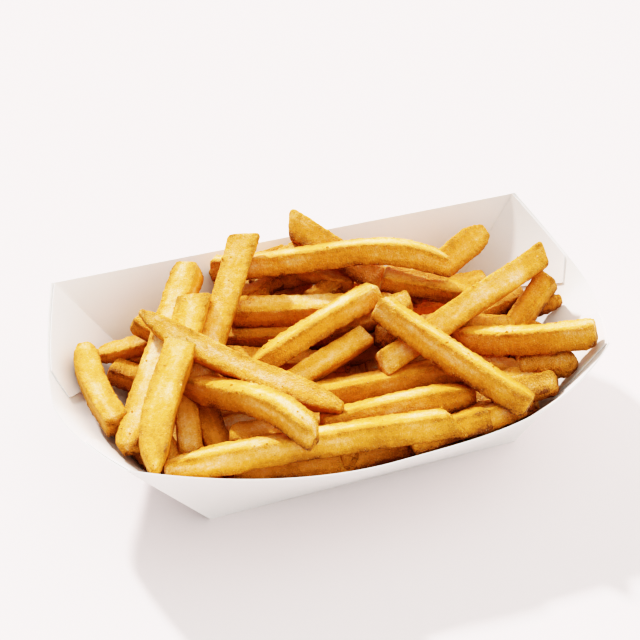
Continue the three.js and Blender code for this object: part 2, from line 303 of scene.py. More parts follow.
def folded_board():
    """The blank as one closed skin: up the outer faces, over the rim and down the inner faces. The
    inner face lies one board inside the outer one, and at each crease two inner faces are mitred."""
    steps = np.arange(WALL_COLUMNS) / WALL_COLUMNS
    levels = np.linspace(0, 1, WALL_ROWS + 1)
    along, up = np.meshgrid(steps, levels, indexing="ij")
    names = list(WALLS)
    outer, inner = [], []
    for index, wall in enumerate(names):
        skin = wall_points(wall, along, up)
        normal = wall_normals(wall, along, up)
        other = wall_normals(names[index - 1], np.ones_like(levels), levels)
        shared = 1 + np.sum(normal[0] * other, -1, keepdims=True)
        normal[0] = (normal[0] + other) / shared
        outer.append(skin)
        inner.append(skin + normal * BOARD)
    outer = np.concatenate(outer).transpose(1, 0, 2)
    inner = np.concatenate(inner).transpose(1, 0, 2)
    floor = ((BOARD - inner[0, :, 2]) / (inner[1, :, 2] - inner[0, :, 2]))[:, None]
    inner[0] += (inner[1] - inner[0]) * floor
    rings = np.concatenate([outer, inner[::-1]])
    count = rings.shape[1]
    points = np.concatenate([rings.reshape(-1, 3), [[0, 0, 0], [0, 0, BOARD]]])
    faces = round_faces(len(rings), count)
    faces += fan_faces(0, count, len(points) - 2, outwards=False)
    faces += fan_faces((len(rings) - 1) * count, count, len(points) - 1, outwards=True)
    return points, faces


def glue_tab(wall, from_start, reach):
    """A flat tab on the inner face of a wall: a grid of shares between its lower and its upper edge,
    made twice, just off that face and one thickness farther, and closed round its edges. It runs from
    the wall's first crease or from its last, and its reach scales its length."""
    outline = np.array(TAB_OUTLINE)
    columns = np.linspace(0, outline[:, 0].max(), 25)
    low = np.interp(columns, outline[:3, 0], outline[:3, 1])
    high = np.interp(columns, outline[:1:-1, 0], outline[:1:-1, 1])
    high = np.maximum(high, low + 0.002)
    share = np.linspace(0, 1, 13)[None, :]
    up = low[:, None] + (high - low)[:, None] * share
    along = np.repeat((columns * reach)[:, None], share.shape[1], axis=1)
    if not from_start:
        along = 1 - along
    away = BOARD + TAB_GAP + TAB_GAPE * share[..., None] ** 4
    normal = wall_normals(wall, along, up)
    under = wall_points(wall, along, up) + normal * away
    over = under + normal * TAB_THICKNESS
    grids = np.stack([under, over])
    rows, cells = grids.shape[1], grids.shape[2]
    number = np.arange(2 * rows * cells).reshape(2, rows, cells)
    edge = np.concatenate([
        number[:, :-1, 0], number[:, -1, :-1], number[:, :0:-1, -1], number[:, 0, :0:-1],
    ], axis=1)
    sides = np.stack([edge[0], np.roll(edge[0], -1), np.roll(edge[1], -1), edge[1]], -1)
    quads = [sides.reshape(-1, 4)]
    for layer, turn in ((0, 1), (1, -1)):
        cell = number[layer]
        corners = [cell[:-1, :-1], cell[:-1, 1:], cell[1:, 1:], cell[1:, :-1]][::turn]
        quads.append(np.stack(corners, -1).reshape(-1, 4))
    faces = np.concatenate(quads)
    if not from_start:
        faces = faces[:, ::-1]
    return grids.reshape(-1, 3), faces.tolist()


def joined(parts):
    """Several (points, faces) pairs as one, with the faces numbered on."""
    points, faces, total = [], [], 0
    for own_points, own_faces in parts:
        points.append(own_points)
        faces += [[number + total for number in face] for face in own_faces]
        total += len(own_points)
    return np.concatenate(points), faces


def paperboard():
    """White coated paperboard: a faint fibre mottle in its colour and its gloss."""
    material, tree, shader = new_material("white_paperboard")
    place = node(tree, "ShaderNodeTexCoord", (-1100, 0))
    fibre = node(tree, "ShaderNodeTexNoise", (-850, 150), Scale=900.0, Detail=4.0, Roughness=0.6)
    cloud = node(tree, "ShaderNodeTexNoise", (-850, -150), Scale=60.0, Detail=2.0)
    tone = node(tree, "ShaderNodeMix", (-350, 100), data_type="RGBA")
    tone.inputs["A"].default_value = PAPER_COLOUR
    tone.inputs["B"].default_value = PAPER_SHADE
    gloss = node(tree, "ShaderNodeMapRange", (-350, -200))
    gloss.inputs["To Min"].default_value = 0.5
    gloss.inputs["To Max"].default_value = 0.68
    bump = node(tree, "ShaderNodeBump", (-150, -400), Strength=0.12, Distance=0.0001)
    links = tree.links
    links.new(place.outputs["Object"], fibre.inputs["Vector"])
    links.new(place.outputs["Object"], cloud.inputs["Vector"])
    links.new(cloud.outputs["Fac"], tone.inputs["Factor"])
    links.new(fibre.outputs["Fac"], gloss.inputs["Value"])
    links.new(fibre.outputs["Fac"], bump.inputs["Height"])
    links.new(tone.outputs["Result"], shader.inputs["Base Color"])
    links.new(gloss.outputs["Result"], shader.inputs["Roughness"])
    links.new(bump.outputs["Normal"], shader.inputs["Normal"])
    shader.inputs["Specular IOR Level"].default_value = 0.2
    return material


board_points, board_faces = joined([
    folded_board(),
    glue_tab("left", from_start=True, reach=1.0),
    glue_tab("left", from_start=False, reach=0.75),
    glue_tab("right", from_start=True, reach=0.75),
    glue_tab("right", from_start=False, reach=1.0),
])
tray = new_piece("paper_tray", board_points, board_faces, paperboard(), "board", smooth_angle=35.0)
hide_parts("tray")

# ---- The fries: shape ------------------------------------------------------------------------------
# Potato cut straight through a square grid of blades, 8 mm on a side, and fried twice. The faces sink
# a little as they dry, the edges stay sharp and the crust blisters.

# Each way that an end is cut: the share of the width left at its tip, and the share of the fry's
# length over which it narrows.
END_FORMS = {
    "square": (0.96, 0.03),
    "round": (0.70, 0.06),
    "point": (0.22, 0.22),
    "taper": (0.40, 0.22),
}
# The power of the section's superellipse, and the radius of the edge round a flat cut.
SECTION_POWER = 8.5
EDGE_ROUNDING = 1.0
# How far the points round a section crowd towards its corners, in radians.
CORNER_CROWDING = 0.17
# Slow changes along a fry: the size of their lumps in millimetres, and how far they range. The first
# three are shares of the section, the twist is in degrees and the waver in millimetres.
SINKING = (9.0, 0.06)
SWELLING = (13.0, 0.08)
THICKENING = (17.0, 0.10)
TWISTING = (45.0, 7.0)
WAVERING = (24.0, 0.8)
# How far from an end its slanted cut is felt, and how far its wear is.
CUT_REACH = 9.0
TIP_REACH = 4.0
# How much longer than wide the grain of the crust is.
GRAIN_STRETCH = 6.0
# Relief of the crust: the size of its lumps and how far they range, for blisters and crumbs on sound
# crust and then how much more on worn crust. Sharp edges lose a little, and a cut end has its own.
WAVES = (6.0, 0.3)
BLISTERS = (2.1, 0.1, 0.4)
CRUMBLES = (0.95, 0.12, 0.42)
EDGE_LOSS = 0.12
CUT_BLISTERS = 0.3
CUT_CRUMBLES = 0.6
# Brownness by the size of its lumps and their range, and by what each part of a fry adds to it, and
# the wear of a tip and an edge. What the underside and the depth add is painted shade, not brownness.
BLOTCHES = (14.0, 0.45)
MOTTLES = (5.0, 0.4)
PATCH_SIZE = 3.0
FRIED = 0.09
EDGE_BROWNING = 0.55
TIP_BROWNING = 0.25
# Painted shade: the next two darken faces that turn down and fries low in the heap, as if shaded.
UNDERSIDE_PAINTED_SHADE = 0.56
DEEP_PAINTED_SHADE = 0.06
CRUMB_PALING = 0.2
TIP_WEAR = 0.6
EDGE_WEAR = 0.2
# The height below which a fry deep in the heap gets painted shade, and over how much it gets there.
HEAP_SURFACE = 42.0
DEEP_RANGE = 25.0


def lumps(points, size, seed):
    """Smooth random values from 0 to 1: a random number at each corner of a cubic lattice of the given
    size, blended between the corners by the curve 3t^2 - 2t^3."""
    cell = np.asarray(points) / size + np.array([17.3, 5.9, 11.7]) * (seed + 1)
    base = np.floor(cell).astype(np.int64)
    part = cell - base
    part = part * part * (3 - 2 * part)
    total = np.zeros(cell.shape[:-1])
    for corner in np.ndindex(2, 2, 2):
        at = (base + corner) * np.array([73856093, 19349663, 83492791])
        mixed = at[..., 0] ^ at[..., 1] ^ at[..., 2]
        mixed = ((mixed ^ (mixed >> 13)) * 1274126177) & 0x7FFFFFFF
        value = ((mixed ^ (mixed >> 16)) & 0xFFFF) / 65535.0
        weight = np.where(corner, part, 1 - part).prod(-1)
        total += value * weight
    return total


def fry(start, end, width=8.0, depth=8.0, turn=0.0, arch=0.0, sway=0.0, first="square", last="square",
        tone=0.0, cuts=(0.12, -0.12), bevel=(0.0, 0.0), widen=0.0, peak=0.5, crisp=0.0):
    """One fry's values: its two ends, the sides of its section, how far its section is turned, how far
    it is lifted and bent sideways and at what share of its length most, how its ends are formed, how
    far it has browned, how its two cuts slant across it and from its underside to its top, how much
    wider its first end is than its middle, and how rough it has fried all over."""
    return dict(start=start, end=end, width=width, depth=depth, turn=turn, arch=arch, sway=sway,
                first=first, last=last, tone=tone, cuts=cuts, bevel=bevel, widen=widen, peak=peak,
                crisp=crisp)


def end_share(form, distance):
    """How much of the width is left at a share of the length from an end."""
    left, run = END_FORMS[form]
    reach = np.clip(distance / run, 0, 1)
    return left + (1 - left) * np.sin(reach * math.pi / 2) ** 0.85


def fry_axes(spec):
    """A fry's length and three directions: along it, across it and out of its top. The last two are at
    right angles to the first, level and upright, and then rolled about it by the turn."""
    start, end = np.array(spec["start"], float), np.array(spec["end"], float)
    length = np.linalg.norm(end - start)
    axis = (end - start) / length
    across = unit(np.cross([0, 0, 1], axis))
    above = np.cross(axis, across)
    rolled = math.radians(spec["turn"])
    rolled_across = across * math.cos(rolled) + above * math.sin(rolled)
    rolled_above = above * math.cos(rolled) - across * math.sin(rolled)
    return length, axis, rolled_across, rolled_above


def fry_rings(length, half, rings):
    """Places of the rings along a fry, and how far each is drawn in: four rings on each flat cut, four
    round its edge by a quarter circle, and the rest evenly between."""
    cap = np.array([0.06, 0.3, 0.6, 0.85]) * (1 - EDGE_ROUNDING / half)
    curve = np.radians([0, 25, 50, 72])
    shoulder = 1 - EDGE_ROUNDING / half * (1 - np.sin(curve))
    lip = EDGE_ROUNDING * (1 - np.cos(curve))
    body = np.linspace(EDGE_ROUNDING, length - EDGE_ROUNDING, rings)
    along = np.concatenate([cap * 0, lip, body, length - lip[::-1], cap * 0 + length])
    inset = np.concatenate([cap, shoulder, body * 0 + 1, shoulder[::-1], cap[::-1]])
    return along[:, None], inset[:, None]


def slow_change(along, change, seed, phase=0):
    """A change along one fry, as a column: lumps about zero of the change's size, times its range."""
    size, reach = change
    line = np.concatenate([along, along * 0, along * 0 + seed * 3.1], -1)
    return reach * (lumps(line, size, seed + phase) - 0.5)[:, None]


def corner_share(angle):
    """1 at the four corners of a section, falling steeply to 0 on its faces."""
    return ((1 - np.cos(4 * angle)) / 2) ** 4


def fry_section(spec, seed, along, at, inset, angle):
    """The outline at each ring: the superellipse |x|^p + |y|^p = 1, sunk a little in the faces, scaled
    by the fry's half sides, its ends' forms and slow changes, and turned by a slow twist. Returns x
    across the fry and y out of its top."""
    power = SECTION_POWER
    radius = (np.abs(np.cos(angle)) ** power + np.abs(np.sin(angle)) ** power) ** (-1 / power)
    waist = np.stack(np.broadcast_arrays(along * 1.0, angle * 2.0, angle * 0 + seed), -1)
    size, depth = SINKING
    radius = radius * (1 - depth * (1 - corner_share(angle)) * lumps(waist, size, seed))
    share = np.minimum(end_share(spec["first"], at), end_share(spec["last"], 1 - at))
    wide = spec["width"] / 2 * share * (1 + spec["widen"] * (1 - 2 * at))
    thick = spec["depth"] / 2 * (0.5 + share / 2)
    x = radius * np.cos(angle) * inset * wide * (1 + slow_change(along, SWELLING, seed))
    y = radius * np.sin(angle) * inset * thick * (1 + slow_change(along, THICKENING, seed, 5))
    twist = np.radians(slow_change(along, TWISTING, seed, 9))
    return x * np.cos(twist) - y * np.sin(twist), x * np.sin(twist) + y * np.cos(twist)


def fry_path(spec, seed, along, at, x, y):
    """The section's points carried along the fry's line, which is bent in half a wave that is highest at
    its peak, wavers a little, and is shifted along near both ends by the slant of the cuts."""
    length, axis, across, above = fry_axes(spec)
    near = np.clip(1 - np.minimum(along, length - along) / CUT_REACH, 0, 1)
    slant = np.where(at < 0.5, *spec["cuts"]) * x + np.where(at < 0.5, *spec["bevel"]) * y
    bend = np.sin(math.pi * at ** (math.log(0.5) / math.log(spec["peak"])))
    waver = slow_change(along, WAVERING, seed, 11)
    return (
        np.array(spec["start"], float)
        + axis * (along + slant * near)[..., None]
        + across * (x + bend * spec["sway"] + waver)[..., None]
        + above * y[..., None]
        + np.array([0, 0, 1.0]) * (bend * spec["arch"])[..., None]
    )


def crusted(points, outward, endward, inset, corner, worn):
    """Points moved out and in by lumps of three sizes, and on the flat cuts along the fry instead.
    Returns them, and the finest lumps."""
    size, reach = WAVES
    relief = reach * (lumps(points, size, 2) - 0.5) - EDGE_LOSS * corner
    size, sound, more = BLISTERS
    blister = np.clip(lumps(points, size, 3) - 0.5, 0, 1)
    relief = relief + (sound + more * worn) * blister
    size, sound, more = CRUMBLES
    crumb = lumps(points, size, 4) - 0.5
    relief = relief + (sound + more * worn) * crumb
    side = np.clip(inset * 2 - 0.6, 0, 1)
    ragged = CUT_CRUMBLES * crumb + CUT_BLISTERS * blister
    moved = outward * (relief * side)[..., None] + endward * (ragged * (1 - side))[..., None]
    return points + moved, crumb


def fried(spec, points, outward, corner, tip, crumb):
    """How browned and how worn the crust is: browner along the edges, at the tips, in blotches, mottles
    and patches, and darker with painted shade underneath and deep in the heap. Returns both."""
    size, reach = BLOTCHES
    brown_and_shade = spec["tone"] + FRIED + reach * (lumps(points, size, 6) - 0.5)
    size, reach = MOTTLES
    brown_and_shade = brown_and_shade + reach * (lumps(points, size, 8) - 0.5) - CRUMB_PALING * crumb
    patch = lumps(points, PATCH_SIZE, 7)
    brown_and_shade = brown_and_shade + EDGE_BROWNING * np.sqrt(corner) * (0.3 + patch) + TIP_BROWNING * tip * patch
    # Painted shade: faces that turn down and points low in the heap are darkened as if they were shaded.
    underside = np.clip(0.75 - outward[..., 2], 0, 1.2)
    deep = np.clip((HEAP_SURFACE - points[..., 2]) / DEEP_RANGE, 0, 1)
    brown_and_shade = brown_and_shade + UNDERSIDE_PAINTED_SHADE * underside + DEEP_PAINTED_SHADE * deep
    worn = (TIP_WEAR * tip + spec["crisp"]) * (0.4 + patch) + EDGE_WEAR * corner
    return brown_and_shade, np.clip(worn, 0, 1)


def fry_surface(spec, seed, rings, around):
    """One fry as a grid of points, along it and round it. Returns the points, their brownness with
    painted shade, their wear, and their grain coordinates, which run slowly along the fry from a start
    of its own."""
    length, axis, across, above = fry_axes(spec)
    along, inset = fry_rings(length, min(spec["width"], spec["depth"]) / 2, rings)
    at = along / length
    angle = (np.arange(around) + 0.5) * 2 * math.pi / around
    angle = (angle + CORNER_CROWDING * np.sin(4 * angle))[None, :]
    x, y = fry_section(spec, seed, along, at, inset, angle)
    points = fry_path(spec, seed, along, at, x, y)

    outward = across * x[..., None] + above * y[..., None]
    outward = outward / np.maximum(np.linalg.norm(outward, axis=-1, keepdims=True), 1e-6)
    endward = axis * np.where(at < 0.5, -1.0, 1.0)[..., None]
    corner = corner_share(angle)
    tip = np.exp(-np.minimum(along, length - along) / TIP_REACH)
    worn = np.clip(corner + tip + spec["crisp"], 0, 1)
    points, crumb = crusted(points, outward, endward, inset, corner, worn)
    brown_and_shade, wear = fried(spec, points, outward, corner, tip, crumb)
    grained = np.stack(np.broadcast_arrays(along / GRAIN_STRETCH + seed * 7.7, x, y), -1)
    return points, brown_and_shade, wear, grained


def fry_piece(name, specs, material, rings, around, seed):
    """Fries of one kind as one mesh, each a closed tube with a point at the middle of both ends, with
    the brownness and painted shade, the wear and the grain coordinates stored at its points."""
    points, faces, brown_and_shade, worn, grained, total = [], [], [], [], [], 0
    for index, spec in enumerate(specs):
        grid, shade, wear, lines = fry_surface(spec, seed + index, rings, around)
        count = grid.shape[0]
        own = grid.reshape(-1, 3)
        faces += round_faces(count, around, total)
        ends = [grid[0].mean(0), grid[-1].mean(0)]
        faces += fan_faces(total, around, total + len(own), outwards=False)
        faces += fan_faces(total + (count - 1) * around, around, total + len(own) + 1, outwards=True)
        points.append(np.concatenate([own, ends]))
        brown_and_shade.append(np.concatenate([shade.ravel(), [shade[0].mean(), shade[-1].mean()]]))
        worn.append(np.concatenate([wear.ravel(), [wear[0].mean(), wear[-1].mean()]]))
        grained.append(np.concatenate([lines.reshape(-1, 3), lines[0, :1], lines[-1, :1]]))
        total += len(own) + 2
    piece = new_piece(name, np.concatenate(points), faces, material, "potato")
    mesh = piece.data
    for key, values in (("browning_and_shade", brown_and_shade), ("wear", worn)):
        mesh.attributes.new(key, "FLOAT", "POINT").data.foreach_set("value", np.concatenate(values))
    lines = mesh.attributes.new("grain", "FLOAT_VECTOR", "POINT")
    lines.data.foreach_set("vector", np.concatenate(grained).ravel() * MM)
    return piece


# ---- The fries: crust ------------------------------------------------------------------------------
# A thin fried crust over pale potato: cream where it has blistered, golden on the faces, amber along
# the edges and brown at the tips, with fine grains, a few dark specks and a film of oil.

CREAM = (0.99, 0.66, 0.40, 1.0)
YELLOW = (0.99, 0.52, 0.20, 1.0)
GOLD = (0.90, 0.385, 0.06, 1.0)
AMBER = (0.64, 0.25, 0.02, 1.0)
BROWN = (0.26, 0.085, 0.01, 1.0)
# How much of the light goes into the potato, how far it does in metres, and at which shares of that
# for red, green and blue.
GLOW = 0.2
LIGHT_REACH = 0.0014
REACH_BY_COLOUR = (1.0, 0.42, 0.10)
# How high the finest relief is, in metres.
CRUST_RELIEF = 0.0005
# How brown a point is, from and to which each colour gives way to the next.
COLOUR_STEPS = (
    (-0.30, 0.10, YELLOW),
    (0.00, 0.42, GOLD),
    (0.40, 0.95, AMBER),
    (0.95, 1.60, BROWN),
)
# Noise: lumps to a metre, and its detail.
FINE_GRAIN = (2400.0, 2.0)
MOTTLE = (620.0, 3.0)
STREAK = (420.0, 2.0)
BROAD_STREAK = (170.0, 1.0)
# How much noise of each kind browns the crust.
MOTTLE_BROWNING = 0.8
STREAK_BROWNING = 1.0
BROAD_BROWNING = 0.7
# How strong the fine grain is on sound crust, and how much stronger on worn crust.
SOUND_GRAIN = 0.9
WORN_GRAIN = 1.8
# Dots: cells to a metre, the random channel that picks cells, how far from a cell's middle a dot
# ends and is full, and the random values at which a cell begins to have one and has it in full.
SPECKS = (430.0, "Red", (0.15, 0.05), (0.88, 0.94))
GRIT = (1000.0, "Green", (0.32, 0.08), (0.2, 0.7))
SPECK_STRENGTH = 0.5
GRIT_STRENGTH = 0.32
GRIT_HEIGHT = 0.35


def feed(tree, socket, value):
    """Links a socket to another node's output, or sets it to a number or a colour."""
    if isinstance(value, bpy.types.NodeSocket):
        tree.links.new(value, socket)
    else:
        socket.default_value = value


def maths(tree, kind, first, second):
    """The sum or the product of two outputs, or of an output and a number."""
    made = node(tree, "ShaderNodeMath", operation=kind)
    feed(tree, made.inputs[0], first)
    feed(tree, made.inputs[1], second)
    return made.outputs[0]


def noise(tree, vector, scale, detail):
    """Noise about zero, from -0.5 to 0.5."""
    made = node(tree, "ShaderNodeTexNoise", Scale=scale, Detail=detail, Roughness=0.6)
    tree.links.new(vector, made.inputs["Vector"])
    return maths(tree, "ADD", made.outputs["Fac"], -0.5)


def ramp(tree, value, start, end):
    """A smooth climb from 0 to 1 as a value goes from its start to its end."""
    made = node(tree, "ShaderNodeMapRange", interpolation_type="SMOOTHSTEP")
    made.inputs["From Min"].default_value = start
    made.inputs["From Max"].default_value = end
    tree.links.new(value, made.inputs["Value"])
    return made.outputs["Result"]


def blend(tree, share, under, over):
    """One colour laid over another by a share."""
    made = node(tree, "ShaderNodeMix", data_type="RGBA")
    feed(tree, made.inputs["Factor"], share)
    feed(tree, made.inputs["A"], under)
    feed(tree, made.inputs["B"], over)
    return made.outputs["Result"]


def dots(tree, vector, scale, channel, edge, kept):
    """Round dots in the middles of some cells of a random pattern."""
    cells = node(tree, "ShaderNodeTexVoronoi", Scale=scale, Randomness=1.0)
    tree.links.new(vector, cells.inputs["Vector"])
    lots = node(tree, "ShaderNodeSeparateColor")
    tree.links.new(cells.outputs["Color"], lots.inputs["Color"])
    dot = ramp(tree, cells.outputs["Distance"], *edge)
    return maths(tree, "MULTIPLY", dot, ramp(tree, lots.outputs[channel], *kept))


def crust_group():
    """Node group for fried potato: colour, roughness and relief height, from how browned a point is with
    its painted shade and how worn it is, from streaks along the fry, and from grains, specks and grit."""
    tree = bpy.data.node_groups.new("fried_crust", "ShaderNodeTree")
    for name, way, kind in (
        ("Browning_and_shade", "INPUT", "NodeSocketFloat"),
        ("Wear", "INPUT", "NodeSocketFloat"),
        ("Place", "INPUT", "NodeSocketVector"),
        ("Grain", "INPUT", "NodeSocketVector"),
        ("Colour", "OUTPUT", "NodeSocketColor"),
        ("Roughness", "OUTPUT", "NodeSocketFloat"),
        ("Height", "OUTPUT", "NodeSocketFloat"),
    ):
        tree.interface.new_socket(name, in_out=way, socket_type=kind)
    given = node(tree, "NodeGroupInput").outputs
    mottle = noise(tree, given["Place"], *MOTTLE)
    strength = maths(tree, "ADD", maths(tree, "MULTIPLY", given["Wear"], WORN_GRAIN), SOUND_GRAIN)
    grain = maths(tree, "MULTIPLY", noise(tree, given["Place"], *FINE_GRAIN), strength)
    specks = dots(tree, given["Place"], *SPECKS)
    grit = dots(tree, given["Place"], *GRIT)

    level = given["Browning_and_shade"]
    for share, pattern in (
        (STREAK_BROWNING, noise(tree, given["Grain"], *STREAK)),
        (BROAD_BROWNING, noise(tree, given["Grain"], *BROAD_STREAK)),
        (MOTTLE_BROWNING, mottle),
        (-1.0, grain),
    ):
        level = maths(tree, "ADD", level, maths(tree, "MULTIPLY", pattern, share))
    colour = CREAM
    for start, end, next_colour in COLOUR_STEPS:
        colour = blend(tree, ramp(tree, level, start, end), colour, next_colour)
    colour = blend(tree, maths(tree, "MULTIPLY", specks, SPECK_STRENGTH), colour, BROWN)
    colour = blend(tree, maths(tree, "MULTIPLY", grit, GRIT_STRENGTH), colour, CREAM)

    rough = maths(tree, "ADD", maths(tree, "MULTIPLY", mottle, 0.6), 0.5)
    height = maths(tree, "ADD", maths(tree, "MULTIPLY", grit, GRIT_HEIGHT), mottle)
    height = maths(tree, "ADD", height, grain)
    result = node(tree, "NodeGroupOutput")
    for name, value in (("Colour", colour), ("Roughness", rough), ("Height", height)):
        tree.links.new(value, result.inputs[name])
    return tree


crust = crust_group()


def fried_potato(name, browning_and_shade=0.0):
    """Crust material: a number that adds to the brownness and painted shade that each point stores."""
    material, tree, shader = new_material(name)
    links = tree.links
    place = node(tree, "ShaderNodeTexCoord", (-900, 200))
    brown_and_shade = node(tree, "ShaderNodeAttribute", (-900, 0), attribute_name="browning_and_shade")
    worn = node(tree, "ShaderNodeAttribute", (-900, -200), attribute_name="wear")
    grained = node(tree, "ShaderNodeAttribute", (-900, -400), attribute_name="grain")
    more = node(tree, "ShaderNodeMath", (-650, 0), operation="ADD")
    more.inputs[1].default_value = browning_and_shade
    effect = node(tree, "ShaderNodeGroup", (-400, 0))
    effect.node_tree = crust
    bump = node(tree, "ShaderNodeBump", (-150, -300), Strength=1.0, Distance=CRUST_RELIEF)
    links.new(brown_and_shade.outputs["Fac"], more.inputs[0])
    links.new(more.outputs[0], effect.inputs["Browning_and_shade"])
    links.new(worn.outputs["Fac"], effect.inputs["Wear"])
    links.new(place.outputs["Object"], effect.inputs["Place"])
    links.new(grained.outputs["Vector"], effect.inputs["Grain"])
    links.new(effect.outputs["Colour"], shader.inputs["Base Color"])
    links.new(effect.outputs["Roughness"], shader.inputs["Roughness"])
    links.new(effect.outputs["Height"], bump.inputs["Height"])
    links.new(bump.outputs["Normal"], shader.inputs["Normal"])
    shader.inputs["Specular IOR Level"].default_value = 0.5
    shader.inputs["Subsurface Weight"].default_value = GLOW
    shader.inputs["Subsurface Radius"].default_value = REACH_BY_COLOUR
    shader.inputs["Subsurface Scale"].default_value = LIGHT_REACH
    return material


# ---- The fries on top ------------------------------------------------------------------------------
# Long straight-cut fries, golden and crisp, that lie loose across the heap and along the tray's rim.
# Each is set down from where one of its ends is to where the other is.

TOP_FRIES = [
    fry((-59.6, 17.3, 48.6), (-9, -35.6, 37.6), 8.4, 8, turn=30, arch=-4.2, first="point",
        last="taper", tone=0.14, peak=0.42),
    fry((-37, 38.3, 44.8), (-76.1, -25.4, 31.4), 9.6, 7.4, turn=14, first="round", last="round",
        tone=0.02, widen=0.04),
    fry((-40.7, 22.2, 44.5), (-72.3, -41.4, 36.5), 10.8, 7, turn=-5, sway=-2.3, last="point",
        tone=0.18, cuts=(-0.35, 0), peak=0.7),
    fry((-16.9, 42.1, 49), (-48.3, -5.7, 30), 9.4, 7.2, turn=-12, cuts=(-0.4, 0.1), widen=0.1),
    fry((-28, 44, 37), (47.1, 13.8, 41), 8, 8, turn=-20, arch=7, last="round", tone=0.1, peak=0.7),
    fry((-29.9, -4.1, 32.6), (18.2, 7, 43.6), 8.6, 7.2, turn=-25, arch=1, first="point", last="round",
        tone=0.06),
    fry((10.8, -16.6, 33), (78.7, 8.2, 42), 8.8, 7.4, turn=32, tone=-0.02, cuts=(0.3, 0.35)),
    fry((16, -2, 45.2), (48.1, -51.2, 35), 8, 8.4, turn=-28, arch=-1, last="round", tone=0.12),
    fry((39.5, -8.2, 29.5), (77.5, -36.2, 44.7), 8, 8.6, turn=-14, arch=-2.3, first="point",
        last="round", tone=0.04),
    fry((-51.7, 3, 28.5), (-22.6, -48, 41.1), 8.6, 8.4, turn=-13, arch=6, last="round", tone=0.1,
        cuts=(0.1, -0.3), peak=0.68),
    fry((-68, -38, 32), (24.7, -48.7, 33), 9, 8.4, turn=-24, arch=1.5, first="taper", tone=0.05,
        cuts=(0.1, 0.1), bevel=(0, -0.85)),
]
golden_crust = fried_potato("golden_crust")
top_fries = fry_piece("top_fries", TOP_FRIES, golden_crust, rings=140, around=56, seed=100)

# ---- The fries behind and below --------------------------------------------------------------------
# Shorter fries of the same cut that run down into the heap behind, beside and in front of the top
# ones, some of them browner or crisper. What lies on them holds them in place.

BACK_FRIES = [
    fry((1.4, 49.1, 45), (27.1, 20.9, 32), 9.8, 6.6, turn=35, first="round", tone=0.15, cuts=(-0.6, 0)),
    fry((-6.3, 41.3, 35), (13.1, 46.7, 37), 6.4, 6),
    fry((67.2, 30.9, 38), (32.8, 17.6, 28), 10.4, 7, turn=-32, arch=1, first="taper"),
    fry((-27.7, 26, 32), (24.4, 9.9, 32), 8.6, 8, tone=0.02),
    fry((25.2, 20.2, 37), (58.4, 7, 29), 7.4, 7, tone=0.2),
    fry((29, 3, 39), (-2, 6, 30), 7.6, 7.6, turn=-10, first="round", tone=0.12, crisp=0.3),
    fry((-1.7, 43, 32), (17.1, 26.8, 31), 7.6, 5.4, turn=-5, last="taper", tone=0.05),
    fry((-30, 38, 24), (-5.9, 39.4, 31), 7.6, 7, tone=0.05),
    fry((-22.2, 36.7, 24), (-10.5, 36.5, 29), 6.4, 6, last="point", tone=0.1),
    fry((-6, 22, 25), (12, 29.7, 30), 8, 7.6, last="round", tone=0.55),
    fry((36, 26.6, 19), (65.6, 22.6, 21), 8, 8, tone=0.15),
    fry((-34, 38, 21), (6, 42, 22), 8, 8, tone=0.2),
    fry((10, 40.5, 20), (48, 33, 19), 8, 8, tone=0.1),
    fry((-34, 24, 24), (10, 8, 25), 7.5, 7, tone=0.2),
    fry((-34, 14, 22), (6, 0, 19), 8, 8, tone=0.25),
    fry((-16, 42, 28.5), (8, 39, 30), 7.4, 7.4, tone=0.2),
]
SIDE_FRIES = [
    fry((-59.9, 26.9, 37), (-30, -6, 21), 6.4, 6.4, first="round", tone=-0.05),
    fry((-78.6, 21.6, 35), (-76.7, -14.2, 32), 8.6, 8.6, sway=-1.8, first="taper", tone=0.08),
    fry((-75.2, 23.1, 28), (-40.6, 26.1, 27), 6.2, 5.6, first="point", tone=0.05),
    fry((-71, 19, 25), (-45, 0, 17), 7.6, 7.6, tone=0.3),
    fry((-64, 24, 23), (-40, 14, 20), 6.4, 5.6, first="round", tone=0.5),
    fry((-46, 4.6, 23), (-47.3, -28.9, 20), 9, 7.6, tone=0.6),
    fry((-65.6, -6, 22), (-61.6, -33, 22), 8, 8, tone=0.3),
    fry((-44, -27, 27), (4, -29, 23), 8.4, 8.4, first="round", tone=0.15),
    fry((79.9, 3.3, 35), (44, -18, 17), 7.6, 7.2, tone=0.25),
    fry((82.9, -1.4, 28.5), (50, 6, 19), 5.6, 5.6, first="point", tone=0.6),
    fry((70.7, 4.1, 30), (39.6, 0.1, 26), 7, 6.6, first="round", tone=0.3, crisp=0.5),
    fry((41.4, -2.3, 30), (61.6, -8.2, 27), 7, 7, tone=-0.05),
    fry((32, -11, 26), (60, -26, 21), 8, 7.6, tone=0.2),
    fry((71.5, -36.8, 34.5), (57, -26.9, 27), 8, 6.6, turn=-15, first="point", tone=0.05, crisp=0.9),
    fry((37.5, -28.3, 21), (65.2, -33.2, 28), 9, 8, last="round", tone=0.1, crisp=0.9),
    fry((61.9, -42.5, 33.5), (33.6, -32.9, 21), 7.4, 7.2, turn=-25, first="round", tone=0.1, crisp=0.9),
    fry((71.3, -8, 25), (55.3, -29.5, 16.4), 8, 8, tone=0.5),
    fry((-50.4, 2.9, 26), (-57, -27.7, 24), 7.8, 7.6, tone=0.15),
]
